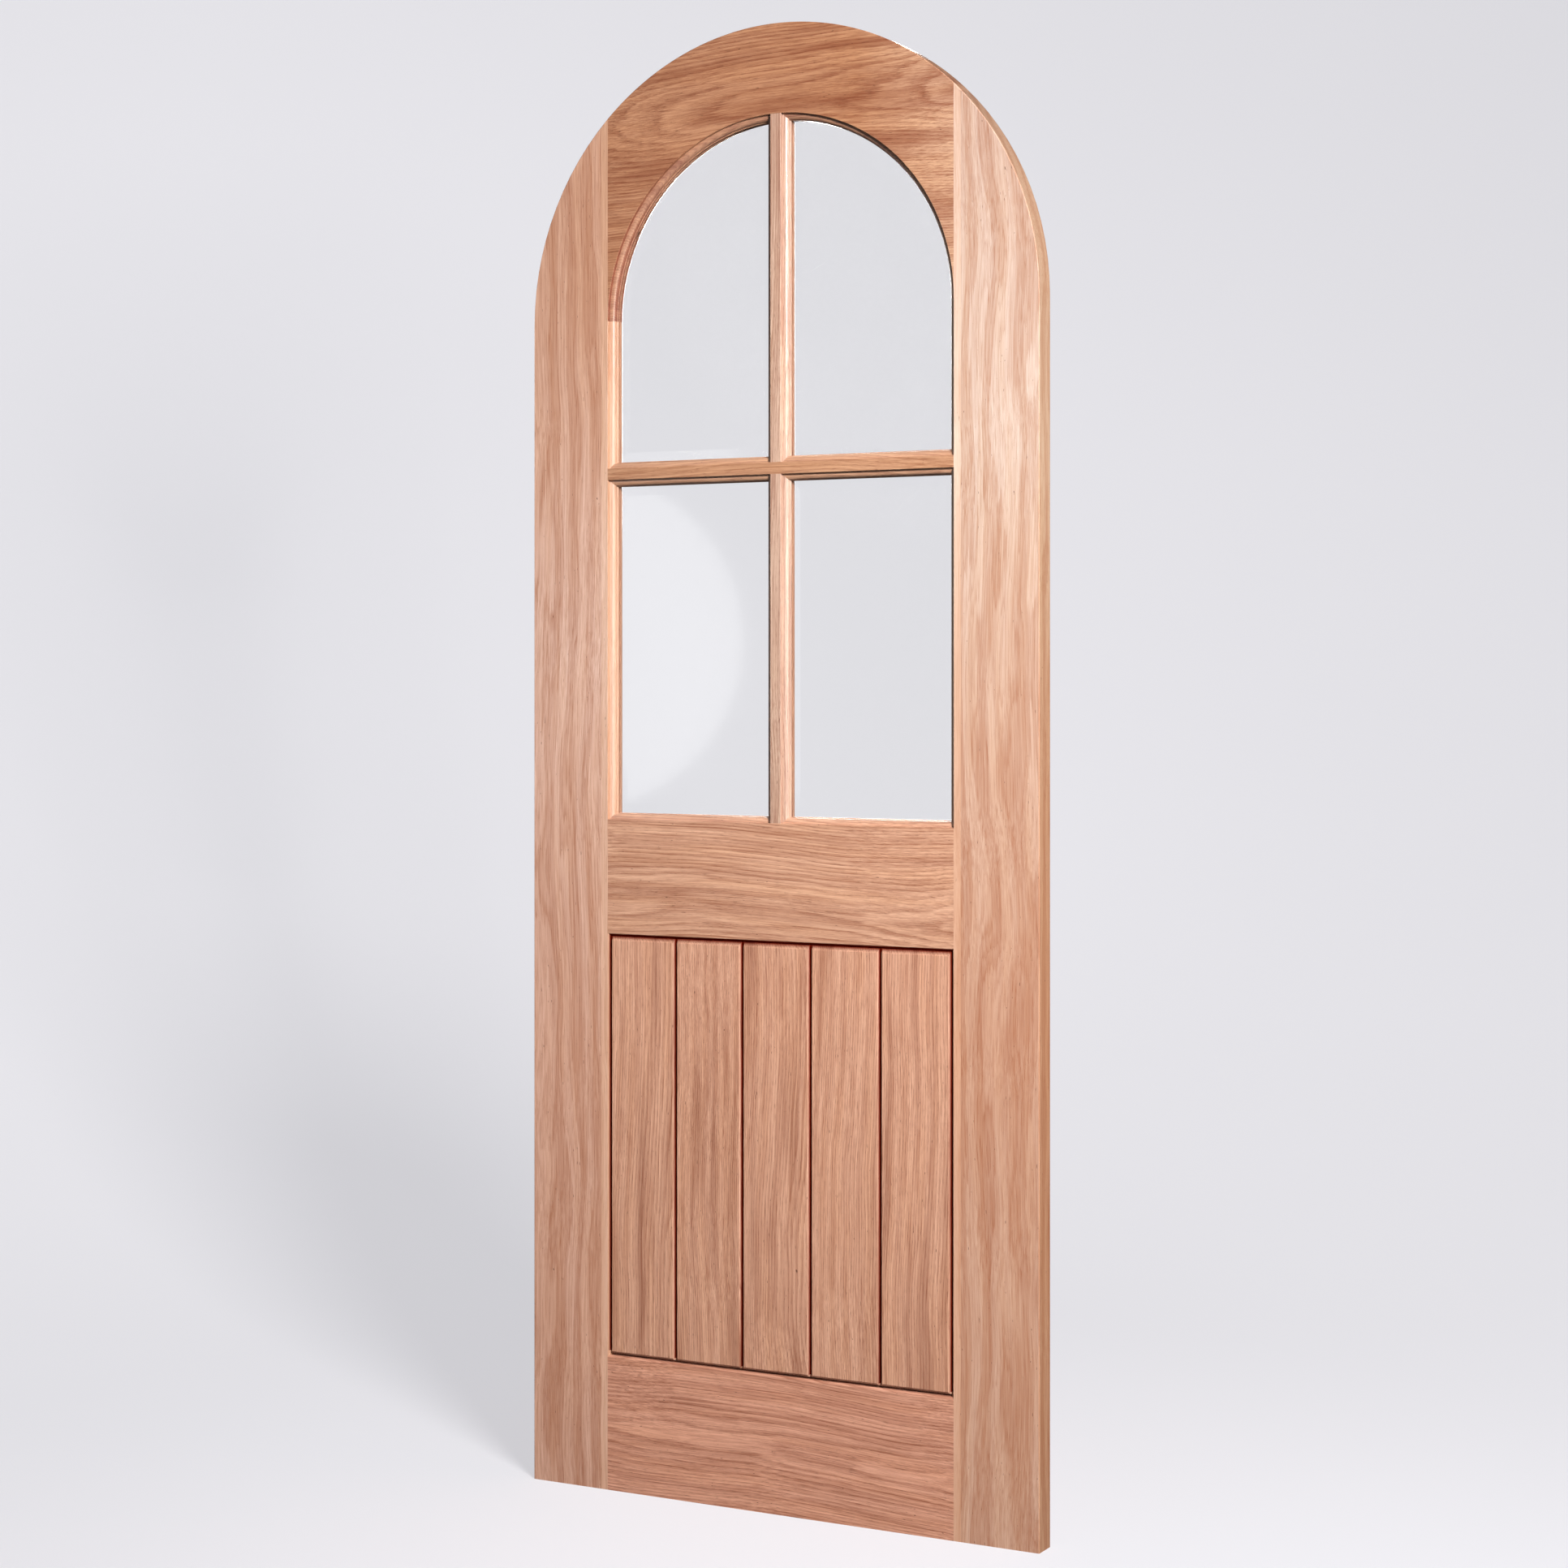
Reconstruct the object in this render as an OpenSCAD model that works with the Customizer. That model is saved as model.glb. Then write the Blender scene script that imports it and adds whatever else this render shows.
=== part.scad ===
// Arched timber door leaf: two stiles, a round-arched head, a lock rail and a bottom rail, a cross of
// moulded glazing bars with four bevelled panes held by loose beads, and a flush panel of V-jointed
// boards below. The leaf stands on its foot: X runs across it, -Y is its front, Z is up, and the
// origin is at the middle of the foot.

/* [Leaf] */
// Width of the leaf
leaf_w = 762; // [700:1:920]
// Height of the leaf at the crown of the arch
leaf_h = 1981; // [1900:1:2380]
// Thickness of the leaf
leaf_t = 35; // [34:0.5:44]
// Width of the chamfer that eases the outer edges
arris = 1; // [0.4:0.1:2]

/* [Frame] */
// Face width of the stiles and of the arched head
stile_w = 120; // [95:1:145]
// Height of the lock rail's lower edge above the foot
lock_rail_z = 762; // [600:1:915]
// Face height of the lock rail
lock_rail_h = 156; // [120:1:190]
// Face height of the bottom rail
bottom_rail_h = 182; // [140:1:220]
// Height of the cross bar's middle above the foot
cross_bar_z = 1390; // [1200:1:1480]
// Face width of a glazing bar between its mouldings
bar_w = 16; // [13:0.5:24]

/* [Moulding] */
// Width of the moulding round each light
moulding_w = 8.5; // [8:0.1:12]
// Width of the flat quirk beside the face
quirk_w = 2.4; // [1.5:0.1:2.6]
// Drop from the face to the quirk
quirk_drop = 5.5; // [3:0.1:6]
// Radius of the ovolo
ovolo_r = 5; // [3:0.1:5]
// Drop from the foot of the ovolo to the fillet
fillet_drop = 2; // [1.8:0.1:2.5]
// Width of the chamfer that eases the edges beside the mouldings and on their noses
sight_arris = 0.4; // [0.2:0.1:0.8]

/* [Glazing] */
// Thickness of the glass
glass_t = 4; // [3:0.5:5]
// Gap between a pane's edge and the rebate
glass_gap = 1.5; // [1:0.1:3]
// Width of the bevel round each pane
glass_bevel_w = 20; // [12:1:26]
// How much thinner the bevel makes a pane's edge
glass_bevel_t = 1.6; // [0.5:0.1:2]
// Gap between a bead and the rebate wall
bead_gap = 0.2; // [0.1:0.1:0.4]
// Diameter of a bead pin
pin_d = 1.2; // [0.8:0.1:1.4]
// Greatest distance between the pins of a bead
pin_pitch = 150; // [100:5:200]

/* [Boards] */
// Number of boards in the panel
board_count = 5; // [3:1:7]
// Width of the bevel on every board edge and round the panel
v_bevel = 2.6; // [1.5:0.1:4]
// Gap between neighbouring boards, and between the outer boards and the stiles
board_gap = 2; // [1:0.1:3]
// Gap between the board ends and the rails
board_end_gap = 3.4; // [2:0.1:4]
// Thickness of the tongues
tongue_t = 10; // [8:0.5:12]
// Length of the tongues
tongue_l = 9; // [6:0.5:11]

/* [Joinery] */
// Diameter of the frame dowels
dowel_d = 12; // [8:1:14]
// Length of the rail dowels
dowel_l = 100; // [80:1:120]
// Length of the head dowels
head_dowel_l = 80; // [66:1:90]
// Number of dowels in each rail joint
rail_dowels = 3; // [2:1:4]
// Diameter of the bar dowels
bar_dowel_d = 6; // [5:0.5:8]
// How far a bar dowel goes into each piece
bar_dowel_reach = 20; // [15:1:25]

/* [Hidden] */
$fn = 96;
oak = "#c79a78";
oak_dark = "#b98a66";
clear_glass = "#cfe0e2";
beech = "#d9b98c";
steel = "#a8a8a4";

// Fits
dowel_fit = 0.1;
dowel_end_gap = 1;
head_dowel_cover = 4;
head_dowel_count = 2;
pin_fit = 0.05;
pin_sink = 0.3;
pin_web = 1.1;
pin_inset = 30;
tongue_fit = 0.1;
tongue_end_gap = 0.6;
over = 1;

// Outlines of the leaf and of its lights
leaf_r = leaf_w / 2;
spring_z = leaf_h - leaf_r;
half_t = leaf_t / 2;
inner_x = leaf_r - stile_w;
lock_top = lock_rail_z + lock_rail_h;
bar_half = bar_w / 2;
bar_low = cross_bar_z - bar_half;
bar_high = cross_bar_z + bar_half;

// Depths from the face
fillet_d = quirk_drop + ovolo_r + fillet_drop;
glass_d = (leaf_t - glass_t) / 2;

// Panel: the field between the frame's bevels, and the boards in it
field_x = inner_x - v_bevel;
field_low = bottom_rail_h + v_bevel;
field_high = lock_rail_z - v_bevel;
board_pitch = (2 * field_x - board_gap) / board_count;
board_w = board_pitch - board_gap;
board_low = field_low + board_end_gap;
board_high = field_high - board_end_gap;
side_groove = tongue_l - board_gap + tongue_end_gap;
end_groove = tongue_l - board_end_gap + tongue_end_gap;
groove_t = tongue_t + 2 * tongue_fit;

// Height of the edge of a circle about the springing, at a distance x from the middle
function arc_z(r, x) = spring_z + sqrt(r * r - x * x);

// Where the arch meets an edge that lies at the distance a out from the upper bar's side
function arch_meets_bar(a) = arc_z(inner_x - a, bar_half + a);

// Heights of n dowels shared out between two heights
function shared(low, high, n) = [for (i = [0:n - 1]) low + (high - low) * (i + 0.5) / n];
head_dowel_reach = head_dowel_l / 2 + head_dowel_cover;
head_dowel_low = arc_z(inner_x, inner_x - head_dowel_reach) + dowel_d / 2;
head_dowel_high = arc_z(leaf_r, inner_x + head_dowel_reach) - dowel_d / 2;
head_dowel_zs = shared(head_dowel_low, head_dowel_high, head_dowel_count);
lock_dowel_zs = shared(field_high + end_groove, lock_top, rail_dowels);
bottom_dowel_zs = shared(0, field_low - end_groove, rail_dowels);

// Edges of the lights, as [start, end], and the places of the pins along one
across_run = [bar_half, inner_x];
lower_run = [lock_top, bar_low];
upper_run = [bar_high, arch_meets_bar(0)];
stile_run = [bar_high, spring_z];
arch_pin_angles = [20, 48, 76];
function pins_along(run) =
    let (n = ceil((run[1] - run[0]) / pin_pitch), step = (run[1] - run[0] - 2 * pin_inset) / n)
    [for (i = [0:n]) run[0] + pin_inset + step * i];

SIDES = ["left", "right"];
BEADS = ["upper_stile", "upper_arch", "upper_bar", "upper_cross",
         "lower_stile", "lower_rail", "lower_bar", "lower_cross"];

// ---- Placing. A section is drawn with x as the distance from a wall and y as the depth from the
// face. Pieces that come in pairs are drawn on the right and mirrored to the left.

// An outline in X and Z, carried through the leaf from one depth to another
module through(d0 = -over, d1 = leaf_t + over) {
    translate([0, d1 - half_t, 0]) rotate([90, 0, 0]) linear_extrude(d1 - d0) children();
}

// A section run upwards from a wall at x, towards +X
module run_up(x, z0, z1) {
    translate([x, -half_t, z0]) linear_extrude(z1 - z0) children();
}

// The same from a wall at x towards -X
module run_up_facing_left(x, z0, z1) {
    mirror([1, 0, 0]) run_up(-x, z0, z1) children();
}

// A section run across from a wall at z, upwards
module run_across(z, x0, x1) {
    translate([x1, -half_t, z]) rotate([0, -90, 0]) linear_extrude(x1 - x0) children();
}

// The same from a wall at z, downwards
module run_across_facing_down(z, x0, x1) {
    translate([x0, -half_t, z]) rotate([0, 90, 0]) linear_extrude(x1 - x0) children();
}

// A section run round the arch from a wall at radius r, inwards
module run_round(r) {
    translate([0, 0, spring_z]) rotate([90, 0, 0]) rotate_extrude(angle = 180)
        translate([r, half_t]) rotate(180) children();
}

module placed(side) {
    if (side == "right") children();
    else mirror([1, 0, 0]) children();
}

module both_sides() {
    for (side = SIDES) placed(side) children();
}

// ---- Sections

// Quirk, ovolo, fillet and nose, down to the glass; wall is where the wood starts
module moulding_section(wall = 0) {
    ovolo_end = quirk_w + ovolo_r;
    difference() {
        polygon([
            [wall, quirk_drop], [ovolo_end, quirk_drop], [ovolo_end, fillet_d],
            [moulding_w - sight_arris, fillet_d], [moulding_w, fillet_d + sight_arris],
            [moulding_w, glass_d], [wall, glass_d]
        ]);
        difference() {
            translate([quirk_w, quirk_drop - over]) square(ovolo_r + over);
            translate([quirk_w, quirk_drop + ovolo_r]) circle(ovolo_r);
        }
    }
}

// A loose bead: the moulding turned to the back face
module bead_section() {
    translate([0, leaf_t]) mirror([0, 1]) moulding_section(bead_gap);
}

// What the easing takes off the wall's edges at both faces
module sight_arris_section() {
    for (d = [0, leaf_t]) translate([0, d]) mirror([0, d]) polygon([
        [-sight_arris, 0], [0, sight_arris], [over, sight_arris], [over, -over],
        [-sight_arris, -over]
    ]);
}

// The frame's edge round the panel, bevelled at both faces
module lip_section() {
    polygon([[0, 0], [v_bevel, v_bevel], [v_bevel, leaf_t - v_bevel], [0, leaf_t]]);
}

// A board of width w, bevelled at both faces
module board_section(w) {
    polygon([
        [v_bevel, 0], [w - v_bevel, 0], [w, v_bevel], [w, leaf_t - v_bevel],
        [w - v_bevel, leaf_t], [v_bevel, leaf_t], [0, leaf_t - v_bevel], [0, v_bevel]
    ]);
}

// The wedge that the glass bevel takes off a pane's face
module glass_wedge_section() {
    slope = glass_bevel_t / glass_bevel_w;
    polygon([
        [-over, glass_d - over], [glass_bevel_w, glass_d - over], [glass_bevel_w, glass_d],
        [-over, glass_d + glass_bevel_t + slope * over]
    ]);
}

// Half of the leaf's section, from the middle out to the eased edge
module half_leaf_section() {
    polygon([
        [0, -half_t], [leaf_r - arris, -half_t], [leaf_r, -half_t + arris],
        [leaf_r, half_t - arris], [leaf_r - arris, half_t], [0, half_t]
    ]);
}

// The whole leaf as a slab, cut down to a range of x and z
module slab(x0, x1, z0, z1) {
    intersection() {
        union() {
            both_sides() linear_extrude(spring_z) half_leaf_section();
            translate([0, 0, spring_z]) rotate([90, 0, 0]) rotate_extrude(angle = 180)
                half_leaf_section();
        }
        translate([x0, -leaf_t, z0]) cube([x1 - x0, 2 * leaf_t, z1 - z0]);
    }
}

// ---- Dowels and pins, each drawn a little larger where it is a hole

module level_dowels(x, zs, d, l, hole) {
    grow = hole ? 1 : 0;
    for (z = zs, side = [-1, 1])
        translate([side * x - l / 2 - grow * dowel_end_gap, 0, z]) rotate([0, 90, 0])
            cylinder(d = d + grow * 2 * dowel_fit, h = l + grow * 2 * dowel_end_gap);
}

module head_joint(hole = false) {
    level_dowels(inner_x, head_dowel_zs, dowel_d, head_dowel_l, hole);
}

module lock_rail_joint(hole = false) {
    level_dowels(inner_x, lock_dowel_zs, dowel_d, dowel_l, hole);
}

module bottom_rail_joint(hole = false) {
    level_dowels(inner_x, bottom_dowel_zs, dowel_d, dowel_l, hole);
}

module cross_bar_joint(hole = false) {
    level_dowels(inner_x, [cross_bar_z], bar_dowel_d, 2 * bar_dowel_reach, hole);
}

// An upright dowel in the bars from z0 to z1, and its reach past both
module upright_bar_joint(z0, z1, hole = false) {
    grow = hole ? 1 : 0;
    reach = bar_dowel_reach + grow * dowel_end_gap;
    translate([0, 0, z0 - reach])
        cylinder(d = bar_dowel_d + grow * 2 * dowel_fit, h = z1 - z0 + 2 * reach);
}

module upright_bar_joints(hole = false) {
    upright_bar_joint(lock_top, lock_top, hole);
    upright_bar_joint(bar_low, bar_high, hole);
    upright_bar_joint(arch_meets_bar(0), arch_meets_bar(0), hole);
}

// A pin through a bead's fillet into the wall behind it, lying along its section's x
module pin(hole) {
    point = bar_half - pin_web + (hole ? pin_sink : 0);
    head = quirk_w + ovolo_r + (hole ? over : -pin_sink);
    translate([-point, leaf_t - fillet_d + fillet_drop / 2, 0]) rotate([0, 90, 0])
        cylinder(d = pin_d + (hole ? 2 * pin_fit : 0), h = point + head);
}

module stile_pins(run, hole = false) {
    for (z = pins_along(run)) translate([inner_x, -half_t, z]) mirror([1, 0, 0]) pin(hole);
}

module bar_pins(run, hole = false) {
    for (z = pins_along(run)) translate([bar_half, -half_t, z]) pin(hole);
}

// Pins that go down into a wall at z, or up into it
module level_pins(z, up = false, hole = false) {
    for (x = pins_along(across_run))
        translate([x, -half_t, z]) rotate([0, up ? 90 : -90, 0]) pin(hole);
}

module arch_pins(hole = false) {
    for (angle = arch_pin_angles)
        translate([0, 0, spring_z]) rotate([0, -angle, 0]) translate([inner_x, -half_t, 0])
            mirror([1, 0, 0]) pin(hole);
}

// ---- Frame

module stile(side) {
    color(oak) placed(side) difference() {
        union() {
            slab(inner_x, leaf_r + over, 0, leaf_h);
            intersection() {
                run_up_facing_left(inner_x, lock_top, spring_z) moulding_section();
                through() polygon([
                    [inner_x, lock_top], [inner_x - moulding_w, lock_top + moulding_w],
                    [inner_x - moulding_w, bar_low - moulding_w], [inner_x, bar_low],
                    [inner_x, bar_high], [inner_x - moulding_w, bar_high + moulding_w],
                    [inner_x - moulding_w, spring_z], [inner_x, spring_z]
                ]);
            }
            intersection() {
                run_up_facing_left(inner_x, bottom_rail_h, lock_rail_z) lip_section();
                through() polygon([
                    [inner_x, bottom_rail_h], [field_x, field_low], [field_x, field_high],
                    [inner_x, lock_rail_z]
                ]);
            }
        }
        translate([field_x - over, -groove_t / 2, field_low - end_groove])
            cube([side_groove + over, groove_t, field_high - field_low + 2 * end_groove]);
        head_joint(true);
        lock_rail_joint(true);
        bottom_rail_joint(true);
        cross_bar_joint(true);
        for (run = [lower_run, stile_run]) {
            run_up_facing_left(inner_x, run[0], run[1]) sight_arris_section();
            stile_pins(run, true);
        }
    }
}

module head() {
    color(oak_dark) difference() {
        union() {
            difference() {
                slab(-inner_x, inner_x, spring_z, leaf_h);
                through() translate([0, spring_z]) circle(inner_x);
            }
            difference() {
                run_round(inner_x) moulding_section();
                through() polygon([
                    [-bar_half, leaf_h], [-bar_half, arch_meets_bar(0)],
                    [-bar_half - moulding_w, arch_meets_bar(moulding_w)],
                    [-bar_half - moulding_w, spring_z], [bar_half + moulding_w, spring_z],
                    [bar_half + moulding_w, arch_meets_bar(moulding_w)],
                    [bar_half, arch_meets_bar(0)], [bar_half, leaf_h]
                ]);
            }
        }
        run_round(inner_x) sight_arris_section();
        head_joint(true);
        upright_bar_joints(true);
        both_sides() arch_pins(true);
    }
}

// The mitred seat that an upright bar's mouldings cut in a moulding along z, facing dir
module bar_seat(z, dir) {
    reach = moulding_w + over;
    through() polygon([
        [-bar_half, z], [bar_half, z], [bar_half + reach, z + dir * reach],
        [-bar_half - reach, z + dir * reach]
    ]);
}

// A groove along a rail for the tongues at the board ends
module rail_groove(z) {
    translate([-inner_x - over, -groove_t / 2, z])
        cube([2 * (inner_x + over), groove_t, end_groove + over]);
}

module lock_rail() {
    color(oak) difference() {
        union() {
            slab(-inner_x, inner_x, lock_rail_z, lock_top);
            intersection() {
                run_across(lock_top, -inner_x, inner_x) moulding_section();
                through() polygon([
                    [-inner_x, lock_top], [inner_x, lock_top],
                    [inner_x - moulding_w, lock_top + moulding_w],
                    [moulding_w - inner_x, lock_top + moulding_w]
                ]);
            }
            intersection() {
                run_across_facing_down(lock_rail_z, -inner_x, inner_x) lip_section();
                through() polygon([
                    [-inner_x, lock_rail_z], [inner_x, lock_rail_z], [field_x, field_high],
                    [-field_x, field_high]
                ]);
            }
        }
        bar_seat(lock_top, 1);
        rail_groove(field_high - over);
        lock_rail_joint(true);
        upright_bar_joints(true);
        both_sides() {
            run_across(lock_top, across_run[0], across_run[1]) sight_arris_section();
            level_pins(lock_top, hole = true);
        }
    }
}

module bottom_rail() {
    color(oak) difference() {
        union() {
            slab(-inner_x, inner_x, 0, bottom_rail_h);
            intersection() {
                run_across(bottom_rail_h, -inner_x, inner_x) lip_section();
                through() polygon([
                    [-inner_x, bottom_rail_h], [inner_x, bottom_rail_h], [field_x, field_low],
                    [-field_x, field_low]
                ]);
            }
        }
        rail_groove(field_low - end_groove);
        bottom_rail_joint(true);
    }
}

// ---- Glazing bars

module cross_bar() {
    color(oak_dark) difference() {
        union() {
            slab(-inner_x, inner_x, bar_low, bar_high);
            intersection() {
                union() {
                    run_across(bar_high, -inner_x, inner_x) moulding_section();
                    run_across_facing_down(bar_low, -inner_x, inner_x) moulding_section();
                }
                through() polygon([
                    [-inner_x, bar_low], [moulding_w - inner_x, bar_low - moulding_w],
                    [inner_x - moulding_w, bar_low - moulding_w], [inner_x, bar_low],
                    [inner_x, bar_high], [inner_x - moulding_w, bar_high + moulding_w],
                    [moulding_w - inner_x, bar_high + moulding_w], [-inner_x, bar_high]
                ]);
            }
        }
        bar_seat(bar_high, 1);
        bar_seat(bar_low, -1);
        cross_bar_joint(true);
        upright_bar_joints(true);
        both_sides() {
            run_across(bar_high, across_run[0], across_run[1]) sight_arris_section();
            run_across_facing_down(bar_low, across_run[0], across_run[1]) sight_arris_section();
            level_pins(bar_high, hole = true);
            level_pins(bar_low, up = true, hole = true);
        }
    }
}

// The part of an upright piece beside the bar, from the distance a0 to a1 out from the bar's side;
// its ends are mitred, and under the arch its top follows the arch's own mitre
module bar_mitres(run, a0, a1) {
    arched = run == upper_run;
    through() polygon([
        [bar_half + a0, run[0] + a0], [bar_half + a1, run[0] + a1],
        [bar_half + a1, arched ? arch_meets_bar(a1) : run[1] - a1],
        [bar_half + a0, arched ? arch_meets_bar(a0) : run[1] - a0]
    ]);
}

module upright_bar(run) {
    color(oak) difference() {
        union() {
            slab(-bar_half, bar_half, run[0], run[1]);
            both_sides() intersection() {
                run_up(bar_half, run[0], run[1]) moulding_section();
                bar_mitres(run, 0, moulding_w);
            }
        }
        upright_bar_joints(true);
        both_sides() {
            run_up(bar_half, run[0], run[1]) sight_arris_section();
            bar_pins(run, true);
        }
    }
}

// ---- Boards: a tongue on the left edge and at both ends, and a groove on the right edge; the last
// board has a tongue there too

module board(i) {
    last = i == board_count;
    x0 = -field_x + board_gap + (i - 1) * board_pitch;
    x1 = x0 + board_w;
    groove_x = x1 - side_groove;
    core_x = last ? x1 + tongue_l : groove_x;
    color(oak) union() {
        difference() {
            intersection() {
                run_up(x0, board_low, board_high) board_section(board_w);
                run_across(board_low, x0, x1) board_section(board_high - board_low);
            }
            if (!last) translate([groove_x, -groove_t / 2, board_low - over])
                cube([side_groove + over, groove_t, board_high - board_low + 2 * over]);
        }
        translate([x0 - tongue_l, -tongue_t / 2, board_low - tongue_l])
            cube([core_x - x0 + tongue_l, tongue_t, board_high - board_low + 2 * tongue_l]);
    }
}

// ---- Glass

module pane(side, level) {
    arched = level == "upper";
    x0 = bar_half + glass_gap;
    x1 = inner_x - glass_gap;
    z0 = (arched ? bar_high : lock_top) + glass_gap;
    z1 = arched ? spring_z : bar_low - glass_gap;
    color(clear_glass, 0.35) placed(side) difference() {
        through(glass_d, glass_d + glass_t) union() {
            translate([x0, z0]) square([x1 - x0, z1 - z0]);
            if (arched) intersection() {
                translate([0, spring_z]) circle(x1);
                translate([x0, spring_z]) square(x1);
            }
        }
        run_up(x0, z0 - over, leaf_h) glass_wedge_section();
        run_up_facing_left(x1, z0 - over, z1 + (arched ? 0 : over)) glass_wedge_section();
        run_across(z0, x0 - over, x1 + over) glass_wedge_section();
        if (arched) run_round(x1) glass_wedge_section();
        else run_across_facing_down(z1, x0 - over, x1 + over) glass_wedge_section();
    }
}

// ---- Beads: children are a bead's run, the outline that mitres it, and its pin holes

module bead(side) {
    color(oak_dark) placed(side) difference() {
        intersection() {
            children(0);
            children(1);
        }
        children(2);
    }
}

// Beside the stile, butted under the arch bead or mitred under the cross bar's bead
module stile_bead(side, run) {
    butted = run == stile_run;
    bead(side) {
        run_up_facing_left(inner_x, run[0], run[1]) bead_section();
        through() polygon([
            [inner_x - bead_gap, run[0] + bead_gap], [inner_x - moulding_w, run[0] + moulding_w],
            [inner_x - moulding_w, run[1] - (butted ? 0 : moulding_w)],
            [inner_x - bead_gap, run[1] - (butted ? 0 : bead_gap)]
        ]);
        stile_pins(run, true);
    }
}

module bar_bead(side, run) {
    bead(side) {
        run_up(bar_half, run[0], run[1]) bead_section();
        bar_mitres(run, bead_gap, moulding_w);
        bar_pins(run, true);
    }
}

// Along a level wall at z: standing on it, or hanging under it
module level_bead(side, z, under = false) {
    dir = under ? -1 : 1;
    bead(side) {
        if (under) run_across_facing_down(z, bar_half, inner_x) bead_section();
        else run_across(z, bar_half, inner_x) bead_section();
        through() polygon([
            [bar_half + bead_gap, z + dir * bead_gap], [inner_x - bead_gap, z + dir * bead_gap],
            [inner_x - moulding_w, z + dir * moulding_w],
            [bar_half + moulding_w, z + dir * moulding_w]
        ]);
        level_pins(z, up = under, hole = true);
    }
}

module arch_bead(side) {
    bead(side) {
        run_round(inner_x) bead_section();
        through() polygon([
            [bar_half + bead_gap, leaf_h], [bar_half + bead_gap, arch_meets_bar(bead_gap)],
            [bar_half + moulding_w, arch_meets_bar(moulding_w)],
            [bar_half + moulding_w, spring_z], [leaf_r, spring_z], [leaf_r, leaf_h]
        ]);
        arch_pins(true);
    }
}

module named_bead(name, side) {
    if (name == "upper_stile") stile_bead(side, stile_run);
    if (name == "upper_arch") arch_bead(side);
    if (name == "upper_bar") bar_bead(side, upper_run);
    if (name == "upper_cross") level_bead(side, bar_high);
    if (name == "lower_stile") stile_bead(side, lower_run);
    if (name == "lower_rail") level_bead(side, lock_top);
    if (name == "lower_bar") bar_bead(side, lower_run);
    if (name == "lower_cross") level_bead(side, bar_low, under = true);
}

// ---- Fastenings

module head_dowels() {
    color(beech) head_joint();
}

module lock_rail_dowels() {
    color(beech) lock_rail_joint();
}

module bottom_rail_dowels() {
    color(beech) bottom_rail_joint();
}

module bar_dowels() {
    color(beech) union() {
        cross_bar_joint();
        upright_bar_joints();
    }
}

module bead_pins() {
    color(steel) both_sides() {
        stile_pins(stile_run);
        stile_pins(lower_run);
        bar_pins(upper_run);
        bar_pins(lower_run);
        level_pins(bar_high);
        level_pins(lock_top);
        level_pins(bar_low, up = true);
        arch_pins();
    }
}

for (side = SIDES) stile(side);
head();
lock_rail();
bottom_rail();
cross_bar();
upright_bar(upper_run);  // upper_bar
upright_bar(lower_run);  // lower_bar
for (i = [1:board_count]) board(i);
for (side = SIDES, level = ["upper", "lower"])
    pane(side, level);
for (side = SIDES, name = BEADS)
    named_bead(name, side);
head_dowels();
lock_rail_dowels();
bottom_rail_dowels();
bar_dowels();
bead_pins();
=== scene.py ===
from math import cos, pi, radians, sin

import bpy
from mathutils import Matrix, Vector


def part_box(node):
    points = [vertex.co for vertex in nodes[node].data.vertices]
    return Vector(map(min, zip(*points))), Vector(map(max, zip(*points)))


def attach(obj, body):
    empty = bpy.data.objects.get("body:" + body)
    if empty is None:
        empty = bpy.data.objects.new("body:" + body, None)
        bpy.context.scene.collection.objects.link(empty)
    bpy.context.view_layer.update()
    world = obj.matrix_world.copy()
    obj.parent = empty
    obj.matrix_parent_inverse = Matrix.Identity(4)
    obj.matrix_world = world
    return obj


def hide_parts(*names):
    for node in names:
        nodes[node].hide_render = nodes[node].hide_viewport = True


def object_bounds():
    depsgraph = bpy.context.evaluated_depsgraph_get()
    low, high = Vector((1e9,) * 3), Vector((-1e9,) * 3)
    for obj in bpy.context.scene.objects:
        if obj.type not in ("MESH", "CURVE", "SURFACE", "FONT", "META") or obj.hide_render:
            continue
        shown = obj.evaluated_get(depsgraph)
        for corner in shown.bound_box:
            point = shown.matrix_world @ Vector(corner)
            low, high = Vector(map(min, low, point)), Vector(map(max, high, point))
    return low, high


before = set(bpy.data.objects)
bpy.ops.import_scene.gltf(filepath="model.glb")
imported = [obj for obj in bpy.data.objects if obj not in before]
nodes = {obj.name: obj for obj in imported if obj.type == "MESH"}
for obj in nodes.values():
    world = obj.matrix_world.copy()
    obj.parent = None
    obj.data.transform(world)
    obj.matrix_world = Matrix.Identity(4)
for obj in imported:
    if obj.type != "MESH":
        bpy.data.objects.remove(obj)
cad_low, cad_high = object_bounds()


# ---------------------------------------------------------------------------------------------
# The stiles: two upright oak members, sawn to the arch at the top, with their moulding run on
# the inner edge. They're planed, sanded and wiped with clear oil, which leaves a low sheen.
# ---------------------------------------------------------------------------------------------

class Wire:
    """A value on its way through a tree of nodes. Arithmetic on it adds the Math nodes."""

    def __init__(self, wiring, socket):
        self.wiring = wiring
        self.socket = socket

    def __add__(self, other):
        return self.wiring.reckon("ADD", self, other)

    def __sub__(self, other):
        return self.wiring.reckon("SUBTRACT", self, other)

    def __rsub__(self, other):
        return self.wiring.reckon("SUBTRACT", other, self)

    def __mul__(self, other):
        return self.wiring.reckon("MULTIPLY", self, other)

    def __truediv__(self, other):
        return self.wiring.reckon("DIVIDE", self, other)

    def __pow__(self, other):
        return self.wiring.reckon("POWER", self, other)

    __radd__ = __add__
    __rmul__ = __mul__


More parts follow.
